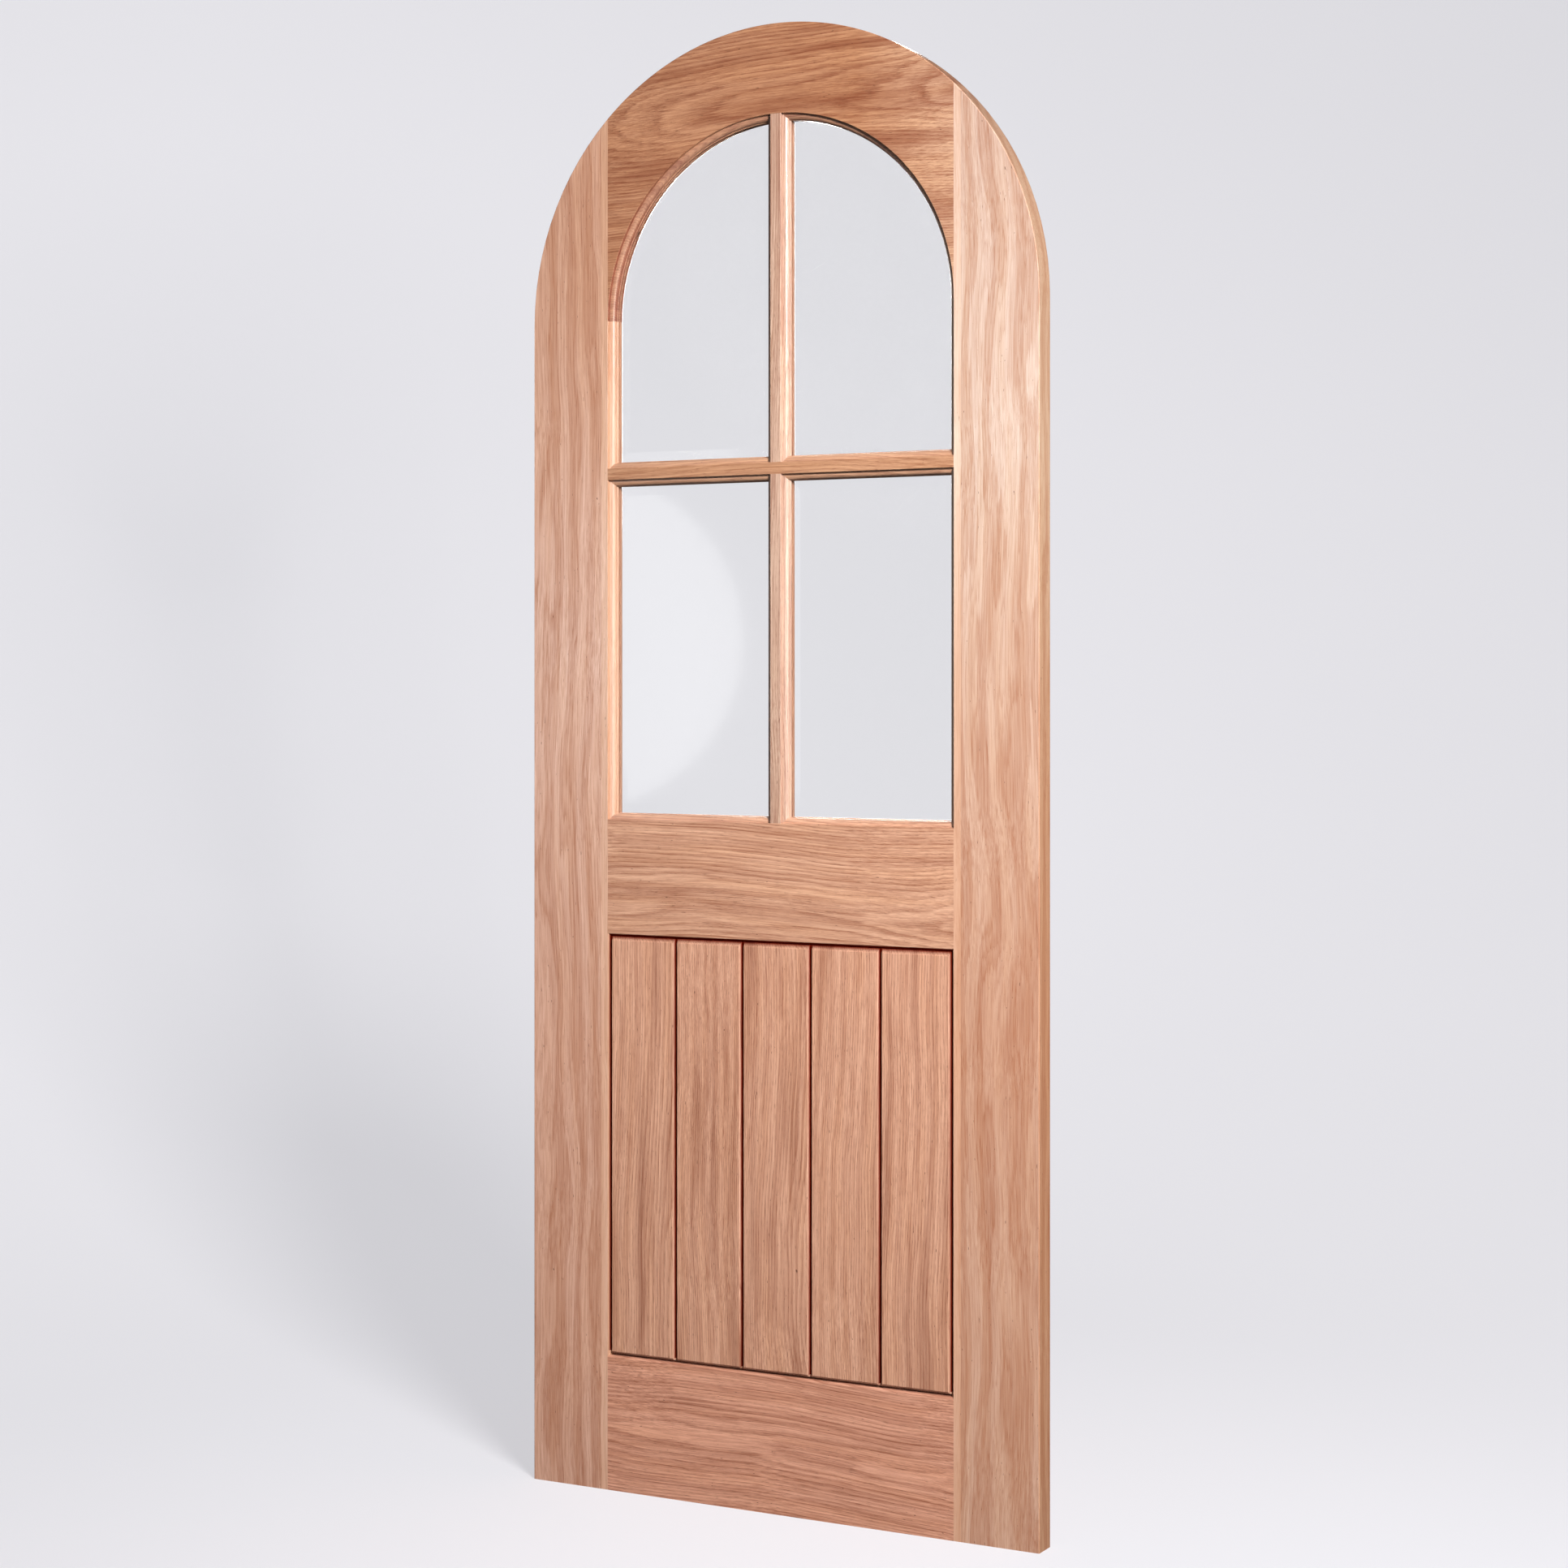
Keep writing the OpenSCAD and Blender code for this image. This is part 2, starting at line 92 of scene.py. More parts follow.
class Wiring:
    """A tree of nodes, put together node by node."""

    def __init__(self, tree):
        self.tree = tree

    def node(self, kind, settings=None, sockets=None, output=0):
        """Adds a node: its settings first, then the value or wire of each socket."""
        made = self.tree.nodes.new(kind)
        for setting, value in (settings or {}).items():
            if setting == "stops":
                for stop in range(len(value) - 2):
                    made.color_ramp.elements.new(0.5)
                for element, (position, shade) in zip(made.color_ramp.elements, value):
                    element.position = position
                    element.color = shade if isinstance(shade, tuple) else (shade,) * 3 + (1.0,)
            else:
                setattr(made, setting, value)
        for name, value in (sockets or {}).items():
            if isinstance(value, Wire):
                self.tree.links.new(value.socket, made.inputs[name])
            else:
                made.inputs[name].default_value = value
        return Wire(self, made.outputs[output])

    def reckon(self, operation, *terms):
        return self.node("ShaderNodeMath", {"operation": operation}, dict(enumerate(terms)))

    def part(self, vector, axis):
        return self.node("ShaderNodeSeparateXYZ", None, {0: vector}, output=axis)

    def ease(self, value, start, end):
        """0 below start and 1 above end, with a soft step between."""
        return self.node("ShaderNodeMapRange", {"interpolation_type": "SMOOTHSTEP"},
                         {"Value": value, "From Min": start, "From Max": end})

    def blend(self, share, first, second, how="MIX"):
        """The first colour, going over to the second as share goes from 0 to 1."""
        return self.node("ShaderNodeMix", {"data_type": "RGBA", "blend_type": how},
                         {0: share, 6: first, 7: second}, output=2)


class Finish(Wiring):
    """The nodes of one material."""

    def __init__(self, name):
        self.material = bpy.data.materials.new(name)
        self.material.use_nodes = True
        super().__init__(self.material.node_tree)
        self.tree.nodes.clear()

    def surface(self, shader):
        end = self.tree.nodes.new("ShaderNodeOutputMaterial")
        self.tree.links.new(shader.socket, end.inputs["Surface"])
        return self.material


def paint(red, green, blue):
    """A colour given from 0 to 255 a channel, as the linear colour that shaders take."""
    def linear(level):
        share = level / 255
        return share / 12.92 if share <= 0.04045 else ((share + 0.055) / 1.055) ** 2.4
    return (linear(red), linear(green), linear(blue), 1.0)


def fibres(finish, log, across, length, detail=2.0, seed=0.0):
    """Noise drawn out along the grain, in patches about that far across and along, in metres."""
    drawn_out = finish.node("ShaderNodeVectorMath", {"operation": "MULTIPLY_ADD"},
                            {0: log, 1: (1 / across, 1 / across, 1 / length), 2: (seed,) * 3})
    return finish.node("ShaderNodeTexNoise", None,
                       {"Vector": drawn_out, "Scale": 1.0, "Detail": detail, "Roughness": 0.6})


def figure(finish, log, pale, dark, ring=0.0028, contrast=1.0, bands=0.14, wander=0.007,
           swerve=(0.040, 0.40), ragged=0.0019, pores=0.5, blotch=0.5, seed=0.0):
    """The figure of oak at a place in its log: its colour, the height of its surface and how
    rough it is.

    ring      one year's growth, in metres
    contrast  how far its rings and streaks part from its mean tone
    bands     how much darker a run of slow years is
    wander    how far the rings bow in and out, over patches of swerve across and along
    ragged    how far the fibres tear into the rings
    pores     how dark the open pores are
    blotch    how much of its redder patches shows
    """
    taper = 0.012
    # Growth rings, ragged where the saw runs out through them.
    level_part = finish.node("ShaderNodeVectorMath", {"operation": "MULTIPLY"},
                             {0: log, 1: (1.0, 1.0, 0.0)})
    reach = finish.node("ShaderNodeVectorMath", {"operation": "LENGTH"}, {0: level_part},
                        output="Value")
    height = finish.part(log, "Z")
    wave = fibres(finish, log, *swerve, 1.0, seed + 11)
    tear = fibres(finish, log, 0.0017, 0.120, 2.0, seed + 23)
    growth = (reach + height * taper + wave * wander + tear * ragged) / ring
    year = finish.reckon("FRACT", growth)
    early_wood = finish.node("ShaderNodeValToRGB",
                             {"stops": ((0.0, 0.0), (0.10, 1.0), (0.36, 0.50), (0.80, 0.0))},
                             {0: year})

    # Fibre streaks of three widths, and the open pores of the early wood.
    fine = fibres(finish, log, 0.0007, 0.070, 2.0, seed + 31)
    broad = fibres(finish, log, 0.0019, 0.20, 2.0, seed + 47)
    patch = fibres(finish, log, 0.022, 0.42, 2.0, seed + 59)
    pore = finish.ease(fibres(finish, log, 0.0006, 0.012, 1.0, seed + 71), 0.54, 0.66)
    pore = pore * (early_wood * 0.7 + 0.3)

    rings = early_wood * (0.25 + 1.3 * patch)
    fleck = finish.ease(fibres(finish, log, 0.0013, 0.007, 0.0, seed + 97), 0.84, 0.87)
    streaks = finish.ease(fine, 0.36, 0.64) * 0.34 + finish.ease(broad, 0.36, 0.66) * 0.26
    slow_years = finish.ease(finish.reckon("SINE", growth * 1.15), -0.40, 0.45) - 0.5
    shade = 0.5 + (streaks + rings * 0.42 + slow_years * bands - 0.46) * contrast
    colour = finish.blend(shade, paint(*pale), paint(*dark))
    colour = finish.blend(finish.ease(patch, 0.46, 0.74) * blotch, colour, paint(138, 80, 56))
    honey = finish.ease(fibres(finish, log, 0.016, 0.30, 1.0, seed + 83), 0.40, 0.66)
    colour = finish.blend(honey * 0.22, colour, paint(255, 244, 222), "MULTIPLY")
    colour = finish.blend(pore * pores, colour, paint(112, 66, 42))
    colour = finish.blend(fleck * 0.8, colour, paint(82, 44, 26))

    relief = 0.6 - pore * 0.8 - fine * 0.25 - early_wood * 0.12
    roughness = 0.40 + pore * 0.25 + fine * 0.12
    return colour, relief, roughness


UPRIGHT = (0.0, 0.0, 0.0)
LEVEL = (0.0, pi / 2, 0.0)
# How far below the face the painted shade of a joint begins and ends: of a V joint between two
# boards, and of the joint under the lock rail. Then the same for the painted highlight on the
# round of the moulding.
V_JOINT = (0.0, 0.0028)
UNDER_RAIL = (0.0, 0.0012)
MOULDING_ROUND = (0.0040, 0.0056)
# The painted shade of the V joints runs from just above the boards' foot bevel to their top, and
# the painted highlight on the moulding of the lights reaches a little way beyond the glass.
panel_low, panel_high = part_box("board_1")[0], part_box("board_5")[1]
joint_foot = panel_low.z + 0.0118
light_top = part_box("glass_upper_right")[1].z + 0.008


def oak(name, heart, pale, dark, lie=UPRIGHT, run_out=(0.0, 0.0), lipping=None, painted_light_and_tone=(),
        painted_side_shade=(255, 255, 255), painted_shade_depths=None, **growth):
    """Oiled oak, sawn from a log whose heart runs past the point heart. The rest of what it
    takes goes to its figure.

    run_out    degrees that the log is turned against the piece, which draws arches and flames
    lipping    how far from the middle of the door its straight-grained lipping begins
    painted_light_and_tone  how its colour drifts along it, partly its own tone and partly painted
                light, as pairs of a place in metres and a tone
    painted_side_shade  the painted shade of its faces that look sideways, as a tone
    painted_shade_depths  how deep the painted shade of its joint with the panel begins and ends
    """
    finish = Finish(name)
    place = finish.node("ShaderNodeTexCoord", output="Object")
    turn = (lie[0] + radians(run_out[0]), lie[1] + radians(run_out[1]), lie[2])
    log = finish.node("ShaderNodeMapping", {"vector_type": "TEXTURE"},
                      {"Vector": place, "Location": heart, "Rotation": turn})
    # The log grew a little crooked, so its fibres wander.
    sway = finish.node("ShaderNodeTexNoise", None,
                       {"Vector": log, "Scale": 2.6, "Detail": 1.5}, output="Color")
    log = finish.node("ShaderNodeVectorMath", {"operation": "MULTIPLY_ADD"},
                      {0: sway, 1: (0.030, 0.030, 0.0), 2: log})
    colour, relief, roughness = figure(finish, log, pale, dark, **growth)

    # A stile's inner edge is a separate straight-grained lipping, a shade paler.
    if lipping:
        is_lipping = finish.ease(finish.reckon("ABSOLUTE", finish.part(place, "X")),
                                 lipping + 0.0004, lipping)
        colour = finish.blend(is_lipping * 0.34, colour, paint(240, 206, 180))

    # Its colour drifts slowly along it, partly its own tone and partly painted light, and its
    # faces that look sideways get painted shade, a little darker and browner.
    if painted_light_and_tone:
        along = finish.part(place, "X" if lie == LEVEL else "Z")
        start = painted_light_and_tone[0][0]
        length = painted_light_and_tone[-1][0] - start
        share = (along - start) / length
        stops = tuple(((spot - start) / length, paint(*tone)) for spot, tone in painted_light_and_tone)
        drift = finish.node("ShaderNodeValToRGB", {"stops": stops}, {0: share})
        colour = finish.blend(1.0, colour, drift, "MULTIPLY")
    # Painted shade on the faces that look sideways: their colour is multiplied darker and browner.
    facing = finish.node("ShaderNodeTexCoord", output="Normal")
    sideways = finish.reckon("ABSOLUTE", finish.part(facing, "X"))
    colour = finish.blend(finish.ease(sideways, 0.40, 0.80), colour, paint(*painted_side_shade), "MULTIPLY")

    # The mouldings round the lights get a painted highlight, a pale cream blend, and more gloss.
    # The joints of the panel get painted shade, dark red-brown, and are made matt. Depth is below
    # the nearer face, so the back is treated like the front.
    depth = cad_high.y - finish.reckon("ABSOLUTE", finish.part(place, "Y"))
    across, up = finish.reckon("ABSOLUTE", finish.part(place, "X")), finish.part(place, "Z")
    inside = finish.reckon("LESS_THAN", across, panel_high.x)
    in_light = (finish.reckon("GREATER_THAN", up, panel_high.z)
                * finish.reckon("LESS_THAN", up, light_top) * inside)
    painted_highlight_and_gloss = finish.ease(depth, *MOULDING_ROUND) * in_light
    # Painted highlight on the moulding round the lights.
    colour = finish.blend(painted_highlight_and_gloss * 0.06, colour, paint(255, 236, 226))
    if painted_shade_depths:
        in_panel = (finish.reckon("GREATER_THAN", up, joint_foot)
                    * finish.reckon("LESS_THAN", up, panel_high.z) * inside)
        painted_joint_shade = finish.ease(depth, *painted_shade_depths) * in_panel
        # Painted shade down the panel's joints: the colour is multiplied by a dark red-brown.
        colour = finish.blend(painted_joint_shade, colour, paint(130, 42, 20), "MULTIPLY")

    # End grain drinks the oil and turns darker and redder.
    log_axis = (0.0, 0.0, 1.0) if lie == UPRIGHT else (1.0, 0.0, 0.0)
    square_on = finish.reckon("ABSOLUTE", finish.node(
        "ShaderNodeVectorMath", {"operation": "DOT_PRODUCT"}, {0: facing, 1: log_axis},
        output="Value"))
    end_grain = finish.ease(square_on, 0.55, 0.92)
    colour = finish.blend(end_grain * 0.75, colour, paint(176, 112, 84), "MULTIPLY")

    grooves = finish.node("ShaderNodeBump", None,
                          {"Strength": 0.35, "Distance": 0.0004, "Height": relief})
    shader = finish.node("ShaderNodeBsdfPrincipled", None, {
        "Base Color": colour, "Roughness": roughness + end_grain * 0.2, "Normal": grooves,
        "Coat Weight": 0.40 + 0.40 * painted_highlight_and_gloss, "Coat Roughness": 0.15, "IOR": 1.5})
    if painted_shade_depths:
        dull = finish.node("ShaderNodeBsdfPrincipled", None, {
            "Base Color": colour, "Roughness": 1.0, "Normal": grooves,
            "Specular IOR Level": 0.0})
        shader = finish.node("ShaderNodeMixShader", None, {0: painted_joint_shade, 1: shader, 2: dull})
    return finish.surface(shader)


def dress(piece, material):
    """Gives a piece of the door its finish."""
    for slot in piece.material_slots:
        slot.material = material


lipping_start = 0.271
# Both stiles are painted lighter between about 1.1 and 1.4 m up, where the key lamp aims, and
# darker above and below: partly the wood's own tone, partly painted light. Their faces that look
# sideways get painted shade.
dress(nodes["stile_left"], oak(
    "oak_stile_left", heart=(-0.40, 0.13, 0.9), run_out=(0.5, 0.2),
    pale=(229, 194, 177), dark=(170, 114, 84), painted_side_shade=(227, 214, 198),
    painted_light_and_tone=((0.0, (255, 242, 234)), (0.6, (252, 240, 232)), (1.15, (255, 255, 255)),
            (1.65, (238, 226, 214))),
    lipping=lipping_start, painted_shade_depths=V_JOINT, ring=0.0036, contrast=0.72, bands=0.34,
    wander=0.024, swerve=(0.030, 0.24), ragged=0.0070, pores=0.2, blotch=0.15, seed=2.0))
dress(nodes["stile_right"], oak(
    "oak_stile_right", heart=(0.40, 0.12, 1.15), run_out=(0.6, -0.2),
    pale=(221, 201, 188), dark=(173, 123, 94), painted_side_shade=(236, 224, 206),
    painted_light_and_tone=((0.0, (255, 232, 218)), (0.65, (248, 220, 202)), (1.08, (246, 232, 222)),
            (1.40, (253, 255, 255)), (1.80, (240, 234, 232))),
    lipping=lipping_start, painted_shade_depths=V_JOINT, ring=0.0036, contrast=0.66, bands=0.38,
    wander=0.026, swerve=(0.030, 0.22), ragged=0.0076, pores=0.15, blotch=0.12, seed=5.0))


# ---------------------------------------------------------------------------------------------
# The arched head: one wide oak piece, its grain level, sawn to both arcs and dowelled between
# the stiles. Its moulding is run round the inner arc, and shows end grain near the springing.
# ---------------------------------------------------------------------------------------------

# The head is painted lighter towards its right end, the key lamp's side: partly the board's own
# tone, partly painted light.
dress(nodes["head"], oak(
    "oak_head", heart=(0.02, 0.12, 1.86), lie=LEVEL, run_out=(2.4, -1.5),
    pale=(216, 177, 147), dark=(146, 91, 65), blotch=0.6,
    painted_light_and_tone=((-0.10, (228, 206, 190)), (0.12, (230, 208, 188)), (0.27, (255, 255, 255))), seed=8.0))


# ---------------------------------------------------------------------------------------------
# The rails: two level oak members, planed and dowelled between the stiles. The lock rail
# carries the glazing's lower moulding and the panel's top groove, and the bottom rail stands on
# the floor with the stiles.
# ---------------------------------------------------------------------------------------------

dress(nodes["lock_rail"], oak(
    "oak_lock_rail", heart=(-0.05, 0.11, 0.79), lie=LEVEL, run_out=(1.0, 1.1),
    pale=(224, 177, 148), dark=(155, 99, 72), blotch=0.25, painted_shade_depths=UNDER_RAIL, seed=12.0))
dress(nodes["bottom_rail"], oak(
    "oak_bottom_rail", heart=(0.05, 0.08, 0.07), lie=LEVEL, run_out=(1.2, 1.0),
    pale=(236, 176, 149), dark=(162, 101, 76), blotch=0.2, seed=15.0))


# ---------------------------------------------------------------------------------------------
# The glazing bars: slim oak mouldings that divide the light in four, dowelled at their ends.
# The cross bar runs through, and the two upright bars are mitred to it, to the head and to the
# lock rail.
# ---------------------------------------------------------------------------------------------

dress(nodes["cross_bar"], oak(
    "oak_cross_bar", heart=(0.0, 0.16, 1.46), lie=LEVEL, run_out=(0.8, 0.4),
    pale=(204, 157, 123), dark=(148, 97, 67), seed=18.0))
for bar, heart_x in (("upper_bar", -0.10), ("lower_bar", 0.12)):
    dress(nodes[bar], oak(
        "oak_" + bar, heart=(heart_x, 0.12, 1.3), run_out=(0.7, 0.3),
        pale=(213, 182, 161), dark=(152, 106, 86), seed=21.0 + heart_x * 10))


# ---------------------------------------------------------------------------------------------
# The panel: five upright oak boards, tongued at the left and at both ends, and grooved at the
# right for the next board's tongue, where the last has one too. Their face arrises are planed
# to a V, wider at the top, and they stand loose in the grooves of the stiles and rails.
# ---------------------------------------------------------------------------------------------

TONGUE, TOP_TONGUE = 0.009, 0.0068
BOARD_SIZES = {
    "Edge Bevel": 0.0026, "Top Bevel": 0.0060, "Foot Bevel": 0.0026,
    "Tongue Length": TONGUE, "Top Tongue Length": TOP_TONGUE, "Tongue Thickness": 0.010,
    "Groove Depth": 0.0076, "Groove Width": 0.0102}
BOARD_LOGS = {
    "board_1": dict(heart=(-0.10, 0.16, 0.40), run_out=(0.5, 0.3)),
    "board_2": dict(heart=(-0.28, 0.13, 0.30), run_out=(0.7, -0.4)),
    "board_3": dict(heart=(0.10, 0.13, 0.45), run_out=(0.5, 0.2)),
    "board_4": dict(heart=(0.26, 0.14, 0.50), run_out=(0.6, 0.4)),
    "board_5": dict(heart=(0.34, 0.15, 0.35), run_out=(0.8, -0.2))}


def board_shape():
    """The Geometry Nodes tree of one board, worked from a block."""
    shape = Wiring(bpy.data.node_groups.new("v_jointed_board", "GeometryNodeTree"))
    terms = shape.tree.interface
    terms.new_socket("Geometry", in_out="INPUT", socket_type="NodeSocketGeometry")
    for name in ("Width", "Height", "Thickness", *BOARD_SIZES, "Is Last"):
        terms.new_socket(name, in_out="INPUT", socket_type="NodeSocketFloat")
    terms.new_socket("Middle", in_out="INPUT", socket_type="NodeSocketVector")
    terms.new_socket("Finish", in_out="INPUT", socket_type="NodeSocketMaterial")
    terms.new_socket("Geometry", in_out="OUTPUT", socket_type="NodeSocketGeometry")
    asked = shape.tree.nodes.new("NodeGroupInput")

    def size(name):
        return Wire(shape, asked.outputs[name])

    def box(low, high):
        """A plain box between two corners."""
        corners = [shape.node("ShaderNodeCombineXYZ", None, dict(enumerate(corner)))
                   for corner in (low, high)]
        extent = shape.node("ShaderNodeVectorMath", {"operation": "SUBTRACT"},
                            {0: corners[1], 1: corners[0]})
        middle = shape.node("ShaderNodeMix", {"data_type": "VECTOR"},
                            {0: 0.5, 4: corners[0], 5: corners[1]}, output=1)
        cube = shape.node("GeometryNodeMeshCube", None, {"Size": extent})
        return shape.node("GeometryNodeTransform", None, {"Geometry": cube, "Translation": middle})

    def cut(operation, first, second):
        return shape.node("GeometryNodeMeshBoolean",
                          {"operation": operation, "solver": "EXACT"},
                          {"Mesh 1": first, "Mesh 2": second})

    half_w, half_h, half_t = size("Width") / 2, size("Height") / 2, size("Thickness") / 2
    # A block of three cells a side: its outer cells become the bevels.
    block = shape.node("GeometryNodeMeshCube", None, {
        "Size": (1.0, 1.0, 1.0), "Vertices X": 4, "Vertices Y": 4, "Vertices Z": 4})
    place = shape.node("GeometryNodeInputPosition")
    sign, rim = {}, {}
    for axis in "XYZ":
        sign[axis] = shape.reckon("SIGN", shape.part(place, axis))
        rim[axis] = shape.reckon("GREATER_THAN", shape.reckon(
            "ABSOLUTE", shape.part(place, axis)), 0.4)
    bevelled = shape.reckon("MAXIMUM", rim["X"], rim["Z"])
    is_top = 0.5 + 0.5 * sign["Z"]
    end_bevel = size("Foot Bevel") + (size("Top Bevel") - size("Foot Bevel")) * is_top
    planed = shape.node("GeometryNodeSetPosition", None, {
        "Geometry": block,
        "Position": shape.node("ShaderNodeCombineXYZ", None, {
            0: sign["X"] * (half_w - size("Edge Bevel") * (1 - rim["X"])),
            1: sign["Y"] * (half_t * (0.3 + 0.7 * rim["Y"])
                            - size("Edge Bevel") * bevelled * rim["Y"]),
            2: sign["Z"] * (half_h - end_bevel * (1 - rim["Z"]))})})

    reach, spare = size("Tongue Length"), 0.01
    half_tongue, half_groove = size("Tongue Thickness") / 2, size("Groove Width") / 2
    groove = box((half_w - size("Groove Depth"), 0 - half_groove, 0 - half_h - spare),
                 (half_w + spare, half_groove, half_h + spare))
    grooved = shape.node("GeometryNodeSwitch", {"input_type": "GEOMETRY"}, {
        "Switch": size("Is Last"), "False": cut("DIFFERENCE", planed, groove), "True": planed})
    plate_end = half_w - size("Groove Depth") + size("Is Last") * (size("Groove Depth") + reach)
    plate = box((0 - half_w - reach, 0 - half_tongue, 0 - half_h - reach),
                (plate_end, half_tongue, half_h + size("Top Tongue Length")))
    joined = shape.node("GeometryNodeMeshBoolean", {"operation": "UNION", "solver": "EXACT"},
                        {"Mesh 2": grooved})
    shape.tree.links.new(plate.socket, joined.socket.node.inputs["Mesh 2"])
    set_down = shape.node("GeometryNodeTransform", None,
                          {"Geometry": joined, "Translation": size("Middle")})
    real = shape.node("GeometryNodeRealizeInstances", None, {"Geometry": set_down})
    finished = shape.node("GeometryNodeSetMaterial", None,
                          {"Geometry": real, "Material": size("Finish")})
    end = shape.tree.nodes.new("NodeGroupOutput")
    shape.tree.links.new(finished.socket, end.inputs["Geometry"])
    return shape.tree


board_tree = board_shape()
for number, (board, log) in enumerate(BOARD_LOGS.items()):
    low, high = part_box(board)
    last = board == "board_5"
    body_low = Vector((low.x + TONGUE, low.y, low.z + TONGUE))
    body_high = Vector((high.x - (TONGUE if last else 0.0), high.y, high.z - TOP_TONGUE))
    body = body_high - body_low
    wood = oak("oak_" + board, pale=(231, 181, 153), dark=(163, 105, 79), painted_shade_depths=V_JOINT,
               ring=0.0024, contrast=0.92, seed=30.0 + 3 * number, **log)
    piece = bpy.data.objects.new("oak_" + board, bpy.data.meshes.new("blank"))
    bpy.context.scene.collection.objects.link(piece)
    worked = piece.modifiers.new("worked", "NODES")
    worked.node_group = board_tree
    order = {"Width": body.x, "Height": body.z, "Thickness": body.y, "Is Last": float(last),
             "Middle": (body_low + body_high) / 2, "Finish": wood, **BOARD_SIZES}
    for item in board_tree.interface.items_tree:
        if item.in_out == "INPUT" and item.name in order:
            worked[item.identifier] = order[item.name]
    eased = piece.modifiers.new("eased", "BEVEL")
    eased.width, eased.segments, eased.limit_method = 0.0003, 2, "ANGLE"
    eased.angle_limit = radians(15)
    done = bpy.data.meshes.new_from_object(
        piece.evaluated_get(bpy.context.evaluated_depsgraph_get()))
    piece.modifiers.clear()
    piece.data = done
    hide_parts(board)
    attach(piece, "root")


# ---------------------------------------------------------------------------------------------
# The glass: four clear panes of drawn glass, cut to the shape of their lights and polished, with
# a wide shallow bevel ground round the front of each. They lie in the rebates behind the moulding.
# ---------------------------------------------------------------------------------------------

def clear_glass():
    finish = Finish("clear_glass")
    place = finish.node("ShaderNodeTexCoord", output="Object")
    draw_lines = finish.node("ShaderNodeTexNoise", None,
                             {"Vector": place, "Scale": 9.0, "Detail": 1.0})
    smears = finish.node("ShaderNodeTexNoise", None,
                         {"Vector": place, "Scale": 60.0, "Detail": 4.0})
    ripple = finish.node("ShaderNodeBump", None,
                         {"Strength": 0.03, "Distance": 0.0002, "Height": draw_lines})
    edge_on = finish.node("ShaderNodeLayerWeight", None, {"Blend": 0.5}, output="Facing")
    mirror = 0.04 + 0.96 * edge_on ** 5.0
    through = finish.node("ShaderNodeBsdfTransparent", None, {"Color": (0.993, 0.997, 0.996, 1.0)})
    shine = finish.node("ShaderNodeBsdfAnisotropic", None, {
        "Color": (1.0, 1.0, 1.0, 1.0), "Roughness": 0.055 + 0.025 * finish.ease(smears, 0.4, 0.8),
        "Normal": ripple})
    mixed = finish.node("ShaderNodeMixShader", None, {0: mirror, 1: through, 2: shine})
    return finish.surface(mixed)


glass = clear_glass()
for pane in ("glass_upper_left", "glass_upper_right", "glass_lower_left", "glass_lower_right"):
    dress(nodes[pane], glass)


# ---------------------------------------------------------------------------------------------
# The beads: sixteen thin oak strips, run with the same moulding as the front. They're cut to
# length with mitres and pinned into the rebates, where they hold the panes from the back.
# ---------------------------------------------------------------------------------------------

level_bead = oak("oak_level_beads", heart=(0.3, 0.2, 1.1), lie=LEVEL, run_out=(0.5, 0.4),
                 pale=(208, 158, 128), dark=(146, 90, 64), seed=50.0)
upright_bead = oak("oak_upright_beads", heart=(0.1, 0.25, 1.1), run_out=(0.5, 0.4),
                   pale=(212, 162, 132), dark=(150, 94, 68), seed=54.0)
for name, piece in nodes.items():
    if name.startswith("bead_") and name != "bead_pins":
        lies_level = "arch" in name or "cross" in name or "rail" in name
        dress(piece, level_bead if lies_level else upright_bead)


# ---------------------------------------------------------------------------------------------
# The fixings: plain beech dowels, glued into bored holes across the joints of the frame, and thin
# steel pins, driven through the beads into the wood round the lights.
# ---------------------------------------------------------------------------------------------

beech = oak("beech_dowels", heart=(0.0, 0.3, 1.0), lie=LEVEL, ring=0.0018,
            pale=(226, 190, 152), dark=(200, 158, 120), blotch=0.2, seed=60.0)
for dowels in ("head_dowels", "lock_rail_dowels", "bottom_rail_dowels", "bar_dowels"):
    dress(nodes[dowels], beech)


def pin_steel():
    finish = Finish("pin_steel")
    place = finish.node("ShaderNodeTexCoord", output="Object")
    scuffs = finish.node("ShaderNodeTexNoise", None,
                         {"Vector": place, "Scale": 1500.0, "Detail": 3.0})
    colour = finish.blend(scuffs, paint(150, 148, 145), paint(92, 88, 84))
    shader = finish.node("ShaderNodeBsdfPrincipled", None, {
        "Base Color": colour, "Metallic": 1.0, "Roughness": 0.3 + 0.3 * scuffs})
    return finish.surface(shader)


dress(nodes["bead_pins"], pin_steel())


# ---------------------------------------------------------------------------------------------
# The studio: a pale seamless backdrop that rises all round, a strong lamp at the right of the
# front, weaker ones at the left and behind, and soft light from the whole room. It's no part of
# the door.
# ---------------------------------------------------------------------------------------------

